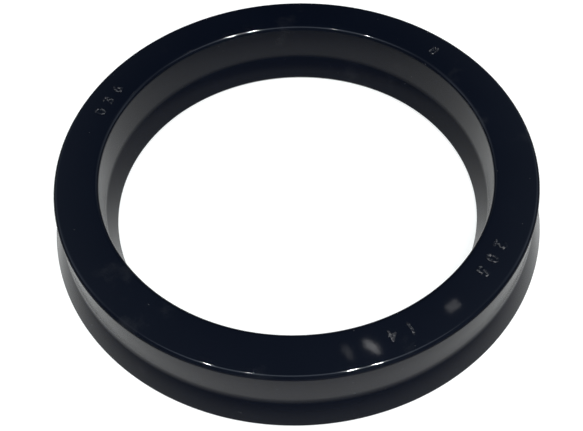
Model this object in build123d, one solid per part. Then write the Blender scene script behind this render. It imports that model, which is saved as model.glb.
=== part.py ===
"""U cup seal for an 80 mm rod in a 100 mm bore, moulded in one piece of polyurethane.

The ring lies on its two lips with the flat heel up, and its pressure groove opens downwards.
Millimetres, +Z up along the ring's axis, origin on the axis in the plane of the lip ends.
Every section is drawn in the XZ plane, with the radius along X, and turned about Z.
"""

from build123d import *
import os

# Rod and bore that the seal is made for
rod_diameter = 80.0
bore_diameter = 100.0

# Heel: the solid back of the ring, with a small gap to the rod and to the bore
seal_height = 15.0
heel_rod_clearance = 0.5
heel_bore_clearance = 0.3
heel_edge_radius = 0.9

# Lips: they flare from the heel, past the rod and the bore until the seal is fitted
inner_lip_interference = 1.25
outer_lip_interference = 2.0
lip_bend_height = 6.4
lip_bend_radius = 4.0

# Lip ends: a bevel under each sealing edge, then a flat end that the ring lies on
lip_bevel_height = 1.0
lip_bevel_width = 0.8
lip_end_width = 1.6

# Pressure groove between the lips
groove_depth = 8.2
groove_root_radius = 1.8
lip_root_thickness = 2.7

# Radii that follow from the sizes above
heel_inner_radius = rod_diameter / 2 + heel_rod_clearance
heel_outer_radius = bore_diameter / 2 - heel_bore_clearance
inner_sealing_radius = rod_diameter / 2 - inner_lip_interference
outer_sealing_radius = bore_diameter / 2 + outer_lip_interference
inner_bevel_radius = inner_sealing_radius + lip_bevel_width
outer_bevel_radius = outer_sealing_radius - lip_bevel_width
inner_mouth_radius = inner_bevel_radius + lip_end_width
outer_mouth_radius = outer_bevel_radius - lip_end_width


def round_corners(sketch, corners, radius):
    """Rounds the corners of an open sketch that lie at the given (radius, height) places."""
    vertices = sketch.vertices()
    nearest = [vertices.sort_by_distance(corner)[0] for corner in corners]
    fillet(nearest, radius)


def section():
    """The U-shaped section: heel on top, two flared lips below and the groove between them."""
    heel_corners = [(heel_inner_radius, seal_height), (heel_outer_radius, seal_height)]
    lip_bends = [(heel_outer_radius, lip_bend_height), (heel_inner_radius, lip_bend_height)]
    sealing_edges = [
        (outer_sealing_radius, lip_bevel_height),
        (inner_sealing_radius, lip_bevel_height),
    ]
    bevel_ends = [(outer_bevel_radius, 0), (inner_bevel_radius, 0)]
    groove_mouth = [(outer_mouth_radius, 0), (inner_mouth_radius, 0)]
    groove_root = [
        (heel_outer_radius - lip_root_thickness, groove_depth),
        (heel_inner_radius + lip_root_thickness, groove_depth),
    ]
    outer_side = [heel_corners[1], lip_bends[0], sealing_edges[0], bevel_ends[0], groove_mouth[0]]
    inner_side = [groove_mouth[1], bevel_ends[1], sealing_edges[1], lip_bends[1], heel_corners[0]]
    with BuildSketch() as outline:
        with BuildLine():
            Polyline(*outer_side, *groove_root, *inner_side, close=True)
        make_face()
        round_corners(outline, heel_corners, heel_edge_radius)
        round_corners(outline, lip_bends, lip_bend_radius)
        round_corners(outline, groove_root, groove_root_radius)
    return outline.sketch


def u_cup_seal():
    """The whole ring, the section turned once about its axis."""
    return revolve(Plane.XZ * section(), axis=Axis.Z, revolution_arc=360)


os.makedirs("parts", exist_ok=True)
export_step(u_cup_seal(), "parts/u_cup_seal.step")
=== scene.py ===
"""Looks of the u cup seal: a moulded polyurethane ring that lies on its lips, heel up."""

import math

import bmesh
import bpy
from mathutils import Matrix, Vector


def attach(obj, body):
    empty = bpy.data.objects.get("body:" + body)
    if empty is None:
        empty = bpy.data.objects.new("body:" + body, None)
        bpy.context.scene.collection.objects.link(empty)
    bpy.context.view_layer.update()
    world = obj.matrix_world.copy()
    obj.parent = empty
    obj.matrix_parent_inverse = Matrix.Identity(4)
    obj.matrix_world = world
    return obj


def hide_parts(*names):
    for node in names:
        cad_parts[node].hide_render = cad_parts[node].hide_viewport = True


MM = 0.001

# Sizes of the ring, in millimetres
ROD_RADIUS = 40.0
BORE_RADIUS = 50.0
SEAL_HEIGHT = 15.0
HEEL_ROD_CLEARANCE = 0.5
HEEL_BORE_CLEARANCE = 0.3
HEEL_EDGE_RADIUS = 0.9
INNER_INTERFERENCE = 1.25
OUTER_INTERFERENCE = 2.0
LIP_BEND_HEIGHT = 6.4
LIP_BEND_RADIUS = 4.0
LIP_BEVEL_HEIGHT = 1.0
LIP_BEVEL_WIDTH = 0.8
LIP_END_WIDTH = 1.6
TRIMMED_EDGE_RADIUS = 0.08
GROOVE_DEPTH = 8.2
GROOVE_ROOT_RADIUS = 1.8
LIP_ROOT_THICKNESS = 2.7

HEEL_INNER = ROD_RADIUS + HEEL_ROD_CLEARANCE
HEEL_OUTER = BORE_RADIUS - HEEL_BORE_CLEARANCE
INNER_SEALING = ROD_RADIUS - INNER_INTERFERENCE
OUTER_SEALING = BORE_RADIUS + OUTER_INTERFERENCE

RING_STEPS = 360

# Polyurethane: the gloss of the heel and walls, and of the flared lips
IOR = 1.27
SKIRT_IOR = 1.19
# Base colours: the body's two tones, its rubbed edges, the dust on it, and the painted glints on the raised
# numbers
BODY_DARK = (0.0013, 0.0023, 0.0058, 1)
BODY_LIGHT = (0.0023, 0.0037, 0.0080, 1)
RUBBED = (0.012, 0.014, 0.018, 1)
# This pale grey is both the dust colour and the colour of the painted glints on the raised numbers
DUST_AND_GLINT = (0.09, 0.095, 0.10, 1)
# Fine turned marks on the heel, one to the next, and how far its relief goes, in millimetres
TOOL_MARK_PITCH = 0.22
RELIEF_STRENGTH = 0.10
RELIEF_DEPTH = 0.05

# Raised numbers on the heel: the digits and the angle of the first one, from +X towards +Y
MARKS = (("205", -31.0), ("14", -64.5), ("036", 158.0), ("8", 43.5))
MARK_SIZE = 3.4
MARK_HEIGHT = 0.08
MARK_EDGE = 0.12
MARK_RADIUS = HEEL_INNER + 4.2
MARK_PITCH = 4.7

# Floor: half its width in metres, its drop below the lips in millimetres, and its two greys
FLOOR_REACH = 1.5
FLOOR_DROP = 0.02
FLOOR_GREY = 0.8
FLOOR_SHADED_GREY = 0.3
# The backdrop's glow, and the light that the room itself gives
BACKDROP = 0.78
ROOM_LIGHT = 0.05
# The floor's lit pool about the ring, which only the gloss sees: from dim to bright over these radii
POOL_INSIDE = (22.0, 31.0)
POOL_OUTSIDE = (65.0, 54.0)
POOL_BRIGHT = 0.85
POOL_DIM = 0.18

# The dome, in metres, and its glow overhead
CANOPY_RADIUS = 0.9
TOP_GLOW = 3.2

# The soft lamp for the body colour, in metres and watts
SOFT_PLACE = (0.05, -0.35, 0.75)
SOFT_SIZE = 0.5
SOFT_WATTS = 11

# The small lamps that show in the gloss stand this far from the ring, in metres
LAMP_DISTANCE = 0.8
INNER_EDGE = HEEL_INNER + 0.53 * HEEL_EDGE_RADIUS
# Where each glint shows: the angle on the ring from +X towards +Y, the radius in millimetres, how far
# the surface there faces up, both angles in degrees, then the lamp's size in metres and its watts
GLINTS = {
    "glint_right": (109.0, INNER_EDGE, 62.0, 0.018, 8.0),
    "glint_bright": (102.0, INNER_EDGE, 62.0, 0.018, 9.0),
    "glint_faint": (75.0, INNER_EDGE, 62.0, 0.014, 0.7),
    "glint_left": (64.0, INNER_EDGE, 62.0, 0.014, 2.2),
}
# Where each streak on the flat heel starts and ends, as angle and radius, then the lamp's width and watts
STREAKS = {
    "streak_far": ((-80.8, 42.2), (-80.1, 51.0), 0.0025, 0.0016),
    "streak_near": ((-75.6, 42.4), (-74.2, 51.0), 0.0030, 0.0095),
    "blotch": ((-54.6, 46.4), (-51.4, 46.9), 0.0080, 0.0036),
}

# Camera: angles in degrees, the lens in millimetres, and the distance and aim as shares of the heel's radius
CAMERA_ELEVATION = 52.93
CAMERA_ROLL = -2.66
CAMERA_DISTANCE = 4.163
CAMERA_AIM = (-0.0255, -0.0645)
CAMERA_SENSOR = 36.0
CAMERA_LENS = 59.25


class Value:
    """A number that varies over a surface, written with the usual operators."""

    def __init__(self, tree, socket):
        self.tree = tree
        self.socket = socket

    def _math(self, operation, *inputs):
        node = self.tree.node("ShaderNodeMath", {"operation": operation}, dict(enumerate(inputs)))
        return Value(self.tree, node.outputs[0])

    def __add__(self, other):
        return self._math("ADD", self, other)

    def __radd__(self, other):
        return self._math("ADD", other, self)

    def __sub__(self, other):
        return self._math("SUBTRACT", self, other)

    def __rsub__(self, other):
        return self._math("SUBTRACT", other, self)

    def __mul__(self, other):
        return self._math("MULTIPLY", self, other)

    def __rmul__(self, other):
        return self._math("MULTIPLY", other, self)

    def __truediv__(self, other):
        return self._math("DIVIDE", self, other)

    def __abs__(self):
        return self._math("ABSOLUTE", self)

    def sine(self):
        return self._math("SINE", self)

    def rise(self, low, high):
        """0 below low, 1 above high, and a smooth way between them; low may be the larger one."""
        node = self.tree.node(
            "ShaderNodeMapRange",
            {"interpolation_type": "SMOOTHSTEP"},
            {"Value": self, "From Min": low, "From Max": high},
        )
        return Value(self.tree, node.outputs["Result"])


class Tree:
    """The nodes of one material or of the world."""

    def __init__(self, owner):
        owner.use_nodes = True
        self.nodes = owner.node_tree.nodes
        self.links = owner.node_tree.links
        self.nodes.clear()

    def node(self, kind, settings=None, inputs=None):
        """A node with its settings first, then the value or link of each named socket."""
        made = self.nodes.new(kind)
        for name, value in (settings or {}).items():
            setattr(made, name, value)
        for name, value in (inputs or {}).items():
            if isinstance(value, Value):
                value = value.socket
            if isinstance(value, bpy.types.NodeSocket):
                self.links.new(value, made.inputs[name])
            else:
                made.inputs[name].default_value = value
        return made

    def value(self, kind, output, settings=None, inputs=None):
        return Value(self, self.node(kind, settings, inputs).outputs[output])

    def mix(self, share, first, second):
        """The output of a colour mix, first at a share of 0 and second at 1."""
        made = self.node("ShaderNodeMix", {"data_type": "RGBA"})
        for socket, value in zip((made.inputs[0], made.inputs[6], made.inputs[7]), (share, first, second)):
            if isinstance(value, Value):
                value = value.socket
            if isinstance(value, bpy.types.NodeSocket):
                self.links.new(value, socket)
            else:
                socket.default_value = value
        return made.outputs[2]


def ring_place(tree):
    """Object coordinates, with the distance from the axis and the height, both in millimetres."""
    place = tree.node("ShaderNodeTexCoord").outputs["Object"]
    apart = tree.node("ShaderNodeSeparateXYZ", {}, {"Vector": place})
    flat = tree.node(
        "ShaderNodeVectorMath", {"operation": "MULTIPLY"}, {0: place, 1: (1 / MM, 1 / MM, 0)}
    )
    radius = tree.value("ShaderNodeVectorMath", "Value", {"operation": "LENGTH"}, {0: flat.outputs[0]})
    return place, radius, Value(tree, apart.outputs["Z"]) / MM


def near_radius(radius, edge):
    """1 close to an edge's radius, and 0 from half a millimetre away."""
    return abs(radius - edge).rise(0.55, 0.15)


def polyurethane():
    """Deep blue-black moulded polyurethane: glossy, with tool marks, smudges, specks and worn edges, and pale
    specks painted on the raised numbers as glints.

    The flared lips are a little duller than the heel and its walls.
    """
    material = bpy.data.materials.new("polyurethane")
    tree = Tree(material)
    place, radius, height = ring_place(tree)

    def noise(scale, detail, roughness=0.5):
        return tree.value(
            "ShaderNodeTexNoise",
            "Fac",
            {},
            {"Vector": place, "Scale": scale, "Detail": detail, "Roughness": roughness},
        )

    mottle = noise(55.0, 4.0)
    smudge = noise(90.0, 5.0, 0.6).rise(0.58, 0.74)
    speck = noise(1600.0, 1.0).rise(0.79, 0.83)
    peel = noise(420.0, 2.0)
    grain = noise(2600.0, 2.0)
    heel = height.rise(SEAL_HEIGHT - HEEL_EDGE_RADIUS, SEAL_HEIGHT - HEEL_EDGE_RADIUS / 2)
    turned = (radius * (2 * math.pi / TOOL_MARK_PITCH)).sine() * heel
    edges = near_radius(radius, HEEL_OUTER - 0.25) + near_radius(radius, HEEL_INNER + 0.25)
    trimmed = height.rise(LIP_BEVEL_HEIGHT + 0.2, LIP_BEVEL_HEIGHT - 0.1)
    worn = edges * height.rise(SEAL_HEIGHT - 1.0, SEAL_HEIGHT - 0.5) * mottle
    skirt = height.rise(LIP_BEND_HEIGHT + 0.8, LIP_BEND_HEIGHT - 0.8)
    raised = height.rise(SEAL_HEIGHT + 0.01, SEAL_HEIGHT + 0.04)
    # Painted glints: broken pale specks on the raised numbers stand in for lamps sparkling on their edges
    painted_glints = raised * grain.rise(0.50, 0.68)

    plain = tree.mix(mottle, BODY_DARK, BODY_LIGHT)
    rubbed = tree.mix(0.35 * worn + 0.25 * trimmed, plain, RUBBED)
    # Specks and smudges of dust, and the painted glints on the raised numbers, in one pale grey
    dusty_and_glinting = tree.mix(0.5 * speck + 0.06 * smudge + 0.5 * painted_glints, rubbed, DUST_AND_GLINT)
    roughness = 0.18 - 0.15 * heel - 0.06 * skirt + 0.20 * raised + 0.03 * mottle
    roughness = roughness + 0.08 * smudge * heel + 0.08 * trimmed + 0.05 * worn
    relief = 0.55 * peel * (1 - 0.75 * heel) + 0.06 * turned + 0.10 * grain
    bump = tree.node(
        "ShaderNodeBump", {}, {"Strength": RELIEF_STRENGTH, "Distance": RELIEF_DEPTH * MM, "Height": relief}
    )
    glossy, duller = (
        tree.node(
            "ShaderNodeBsdfPrincipled",
            {},
            {
                "Base Color": dusty_and_glinting,
                "Roughness": roughness,
                "IOR": ior,
                "Anisotropic": 0.8,
                "Anisotropic Rotation": 0.25,
                "Normal": bump.outputs["Normal"],
            },
        ).outputs[0]
        for ior in (IOR, SKIRT_IOR)
    )
    shader = tree.node("ShaderNodeMixShader", {}, {0: skirt, 1: glossy, 2: duller})
    tree.node("ShaderNodeOutputMaterial", {}, {"Surface": shader.outputs[0]})
    return material


def rounding_start(radius, before, corner, after):
    """How far from a corner a rounding of this radius begins, along the two straight sides."""
    way_in = (Vector(corner) - Vector(before)).normalized()
    way_out = (Vector(after) - Vector(corner)).normalized()
    return radius * math.tan(way_in.angle(way_out) / 2)


def ring_mesh():
    """The section's corners spun about the axis, each corner ring then rounded by its own radius."""
    inner_bevel = INNER_SEALING + LIP_BEVEL_WIDTH
    outer_bevel = OUTER_SEALING - LIP_BEVEL_WIDTH
    corners = [
        ((HEEL_INNER, SEAL_HEIGHT), HEEL_EDGE_RADIUS, 12),
        ((HEEL_OUTER, SEAL_HEIGHT), HEEL_EDGE_RADIUS, 12),
        ((HEEL_OUTER, LIP_BEND_HEIGHT), LIP_BEND_RADIUS, 6),
        ((OUTER_SEALING, LIP_BEVEL_HEIGHT), TRIMMED_EDGE_RADIUS, 3),
        ((outer_bevel, 0), TRIMMED_EDGE_RADIUS, 3),
        ((outer_bevel - LIP_END_WIDTH, 0), TRIMMED_EDGE_RADIUS, 3),
        ((HEEL_OUTER - LIP_ROOT_THICKNESS, GROOVE_DEPTH), GROOVE_ROOT_RADIUS, 8),
        ((HEEL_INNER + LIP_ROOT_THICKNESS, GROOVE_DEPTH), GROOVE_ROOT_RADIUS, 8),
        ((inner_bevel + LIP_END_WIDTH, 0), TRIMMED_EDGE_RADIUS, 3),
        ((inner_bevel, 0), TRIMMED_EDGE_RADIUS, 3),
        ((INNER_SEALING, LIP_BEVEL_HEIGHT), TRIMMED_EDGE_RADIUS, 3),
        ((HEEL_INNER, LIP_BEND_HEIGHT), LIP_BEND_RADIUS, 6),
    ]
    places = [corner[0] for corner in corners]
    bm = bmesh.new()
    verts = [bm.verts.new((r * MM, 0, z * MM)) for r, z in places]
    edges = [bm.edges.new((a, b)) for a, b in zip(verts, verts[1:] + verts[:1])]
    bmesh.ops.spin(
        bm,
        geom=verts + edges,
        cent=(0, 0, 0),
        axis=(0, 0, 1),
        angle=2 * math.pi,
        steps=RING_STEPS,
        use_merge=True,
    )
    bmesh.ops.remove_doubles(bm, verts=bm.verts, dist=1e-7)
    for i, (place, radius, segments) in enumerate(corners):
        before, after = places[i - 1], places[(i + 1) % len(places)]
        offset = rounding_start(radius, before, place, after)
        ring = [e for e in bm.edges if all(at_place(v, place) for v in e.verts)]
        bmesh.ops.bevel(
            bm,
            geom=ring,
            offset=offset * MM,
            offset_type="OFFSET",
            segments=segments,
            profile=0.5,
            affect="EDGES",
            material=-1,
        )
    bmesh.ops.recalc_face_normals(bm, faces=bm.faces)
    for face in bm.faces:
        face.smooth = True
    mesh = bpy.data.meshes.new("seal_ring")
    bm.to_mesh(mesh)
    bm.free()
    return mesh


def at_place(vert, place):
    """Whether a vertex lies at a corner's radius and height."""
    radius, height = place
    return abs(math.hypot(vert.co.x, vert.co.y) - radius * MM) < 1e-6 and abs(vert.co.z - height * MM) < 1e-6


def marks():
    """Plain raised numbers on the heel, each digit turned to stand square to the ring."""
    bm = bmesh.new()
    for digits, first_angle in MARKS:
        for i, digit in enumerate(digits):
            curve = bpy.data.curves.new("digit", "FONT")
            curve.body = digit
            curve.size = MARK_SIZE * MM
            curve.extrude = MARK_HEIGHT * MM
            curve.bevel_depth = MARK_EDGE * MM
            curve.bevel_resolution = 2
            curve.align_x = "CENTER"
            curve.align_y = "CENTER"
            writer = bpy.data.objects.new("digit", curve)
            solid = bpy.data.meshes.new_from_object(writer)
            angle = math.radians(first_angle - i * MARK_PITCH)
            turn = Matrix.Rotation(angle - math.pi / 2, 4, "Z")
            spot = Vector((math.cos(angle), math.sin(angle), 0)) * MARK_RADIUS * MM
            spot.z = SEAL_HEIGHT * MM
            solid.transform(Matrix.Translation(spot) @ turn)
            bm.from_mesh(solid)
            bpy.data.objects.remove(writer)
    bmesh.ops.remove_doubles(bm, verts=bm.verts, dist=1e-7)
    bmesh.ops.recalc_face_normals(bm, faces=bm.faces)
    for face in bm.faces:
        face.smooth = face.normal.z < 0.98
    mesh = bpy.data.meshes.new("size_marks")
    bm.to_mesh(mesh)
    bm.free()
    return mesh


def floor():
    """A plain white floor that keeps a soft shadow; in the gloss it is lit in a pool about the ring.

    It is clear from below, so that the lips and the groove can be seen from there.
    """
    bm = bmesh.new()
    drop = Matrix.Translation((0, 0, -FLOOR_DROP * MM))
    bmesh.ops.create_grid(bm, x_segments=1, y_segments=1, size=FLOOR_REACH, matrix=drop)
    mesh = bpy.data.meshes.new("floor")
    bm.to_mesh(mesh)
    bm.free()
    piece = bpy.data.objects.new("floor", mesh)
    bpy.context.scene.collection.objects.link(piece)
    material = bpy.data.materials.new("white_floor")
    tree = Tree(material)
    path = tree.node("ShaderNodeLightPath")
    camera_ray = Value(tree, path.outputs["Is Camera Ray"])
    glossy_ray = Value(tree, path.outputs["Is Glossy Ray"])
    through_ray = Value(tree, path.outputs["Is Transmission Ray"])
    seen = camera_ray + glossy_ray + through_ray
    below = Value(tree, tree.node("ShaderNodeNewGeometry").outputs["Backfacing"]) * camera_ray
    radius = ring_place(tree)[1]
    pool = radius.rise(*POOL_INSIDE) * radius.rise(*POOL_OUTSIDE)
    level = 1 - glossy_ray * (1 - (POOL_DIM + (POOL_BRIGHT - POOL_DIM) * pool))
    diffuse = tree.node("ShaderNodeBsdfDiffuse", {}, {"Color": (FLOOR_GREY, FLOOR_GREY, FLOOR_GREY, 1)})
    shaded = tree.node("ShaderNodeBsdfDiffuse", {}, {"Color": FLOOR_SHADED_GREY * level})
    glow = tree.node("ShaderNodeEmission", {}, {"Color": (0.97, 1, 1, 1), "Strength": BACKDROP * level})
    lit = tree.node("ShaderNodeAddShader", {}, {0: shaded.outputs[0], 1: glow.outputs[0]})
    both = tree.node("ShaderNodeMixShader", {}, {0: seen, 1: diffuse.outputs[0], 2: lit.outputs[0]})
    clear = tree.node("ShaderNodeBsdfTransparent")
    shown = tree.node("ShaderNodeMixShader", {}, {0: below, 1: both.outputs[0], 2: clear.outputs[0]})
    tree.node("ShaderNodeOutputMaterial", {}, {"Surface": shown.outputs[0]})
    piece.data.materials.append(material)


def canopy():
    """A dim blue-grey dome that only the gloss sees: darkest behind the ring, a soft light overhead."""
    bm = bmesh.new()
    bmesh.ops.create_uvsphere(bm, u_segments=48, v_segments=24, radius=CANOPY_RADIUS)
    mesh = bpy.data.meshes.new("canopy")
    bm.to_mesh(mesh)
    bm.free()
    piece = bpy.data.objects.new("canopy", mesh)
    bpy.context.scene.collection.objects.link(piece)
    material = bpy.data.materials.new("dim_canopy")
    tree = Tree(material)
    place = tree.node("ShaderNodeTexCoord").outputs["Object"]
    apart = tree.node("ShaderNodeSeparateXYZ", {}, {"Vector": place})
    x, y, z = (Value(tree, apart.outputs[axis]) / CANOPY_RADIUS for axis in "XYZ")
    behind = y.rise(-0.1, 0.25)
    room = (0.02 + 2.5 * x * x * z.rise(0.2, 0.6) + 0.22 * z.rise(0.68, 0.95)) * behind
    overhead = y.rise(-0.44, -0.28) * y.rise(0.10, 0.0) * z.rise(0.80, 0.92)
    glow = tree.node(
        "ShaderNodeEmission", {}, {"Color": (0.72, 0.84, 1, 1), "Strength": room + TOP_GLOW * overhead}
    )
    tree.node("ShaderNodeOutputMaterial", {}, {"Surface": glow.outputs[0]})
    piece.data.materials.append(material)
    piece.visible_camera = False
    piece.visible_diffuse = False
    piece.visible_shadow = False


def lamp(name, place, width, length, watts, target=(0, 0, 0), along=(0, 0, 1)):
    """A soft lamp at a place in metres that faces its target, with its length along a direction."""
    data = bpy.data.lights.new(name, "AREA")
    data.shape = "RECTANGLE"
    data.size = width
    data.size_y = length
    data.energy = watts
    piece = bpy.data.objects.new(name, data)
    back = (Vector(place) - Vector(target)).normalized()
    across = Vector(along).cross(back).normalized()
    axes = Matrix((across, back.cross(across), back)).transposed().to_4x4()
    piece.matrix_world = Matrix.Translation(place) @ axes
    bpy.context.scene.collection.objects.link(piece)
    return piece


def mirrored(viewer, angle, radius, facing=90.0):
    """A spot on the ring, and the place of a lamp that the viewer sees mirrored there."""
    angle, facing = math.radians(angle), math.radians(facing)
    outward = Vector((math.cos(angle), math.sin(angle), 0))
    up = Vector((0, 0, 1))
    spot = (outward * radius + up * SEAL_HEIGHT) * MM
    normal = up * math.sin(facing) - outward * math.cos(facing)
    view = (viewer - spot).normalized()
    return spot, spot + (2 * view.dot(normal) * normal - view) * LAMP_DISTANCE


def lights(viewer):
    """A soft lamp for the body colour, and small ones that only show as glints from the viewer's place."""
    soft = lamp("soft_top", SOFT_PLACE, SOFT_SIZE, SOFT_SIZE, SOFT_WATTS)
    soft.visible_glossy = False
    for name, (angle, radius, facing, size, watts) in GLINTS.items():
        spot, place = mirrored(viewer, angle, radius, facing)
        lamp(name, place, size, size, watts, spot).visible_diffuse = False
    for name, (start, end, width, watts) in STREAKS.items():
        (first_spot, first), (last_spot, last) = (mirrored(viewer, *ends) for ends in (start, end))
        middle, spot = (first + last) / 2, (first_spot + last_spot) / 2
        length = (last - first).length
        lamp(name, middle, width, length, watts, spot, last - first).visible_diffuse = False
    world = bpy.data.worlds.new("studio")
    bpy.context.scene.world = world
    tree = Tree(world)
    path = tree.node("ShaderNodeLightPath")
    seen = sum(Value(tree, path.outputs["Is %s Ray" % kind]) for kind in ("Camera", "Glossy", "Transmission"))
    strength = ROOM_LIGHT + (BACKDROP - ROOM_LIGHT) * seen
    sky = tree.node("ShaderNodeBackground", {}, {"Color": (0.97, 0.99, 1, 1), "Strength": strength})
    tree.node("ShaderNodeOutputWorld", {}, {"Surface": sky.outputs[0]})


def camera():
    """Looks down on the ring from the front, tilted by a small roll. Gives its place, in metres."""
    elevation = math.radians(CAMERA_ELEVATION)
    roll = math.radians(CAMERA_ROLL)
    distance = CAMERA_DISTANCE * HEEL_OUTER * MM
    aim_x, aim_y = (share * HEEL_OUTER for share in CAMERA_AIM)
    target = Vector((aim_x, aim_y, LIP_BEVEL_HEIGHT)) * MM
    back = Vector((0, -math.cos(elevation), math.sin(elevation)))
    right = Vector((1, 0, 0))
    up = back.cross(right)
    tilted_right = right * math.cos(roll) + up * math.sin(roll)
    tilted_up = up * math.cos(roll) - right * math.sin(roll)
    data = bpy.data.cameras.new("camera")
    data.sensor_width = CAMERA_SENSOR
    data.lens = CAMERA_LENS
    piece = bpy.data.objects.new("camera", data)
    axes = Matrix((tilted_right, tilted_up, back)).transposed().to_4x4()
    piece.matrix_world = Matrix.Translation(target + back * distance) @ axes
    bpy.context.scene.collection.objects.link(piece)
    bpy.context.scene.camera = piece
    return piece.matrix_world.translation


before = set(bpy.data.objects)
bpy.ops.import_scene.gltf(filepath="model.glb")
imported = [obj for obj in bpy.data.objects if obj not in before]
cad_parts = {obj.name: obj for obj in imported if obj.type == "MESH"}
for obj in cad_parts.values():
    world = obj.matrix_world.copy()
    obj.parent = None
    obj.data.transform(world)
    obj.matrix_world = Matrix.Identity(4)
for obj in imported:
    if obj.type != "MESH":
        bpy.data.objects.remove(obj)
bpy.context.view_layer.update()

moulded = polyurethane()
seal = bpy.data.objects.new("seal_ring", ring_mesh())
numbers = bpy.data.objects.new("size_marks", marks())
for piece in (seal, numbers):
    bpy.context.scene.collection.objects.link(piece)
    piece.data.materials.append(moulded)
    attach(piece, "root")
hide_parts("u_cup_seal")

floor()
canopy()
lights(camera())
bpy.context.scene.view_settings.view_transform = "Standard"
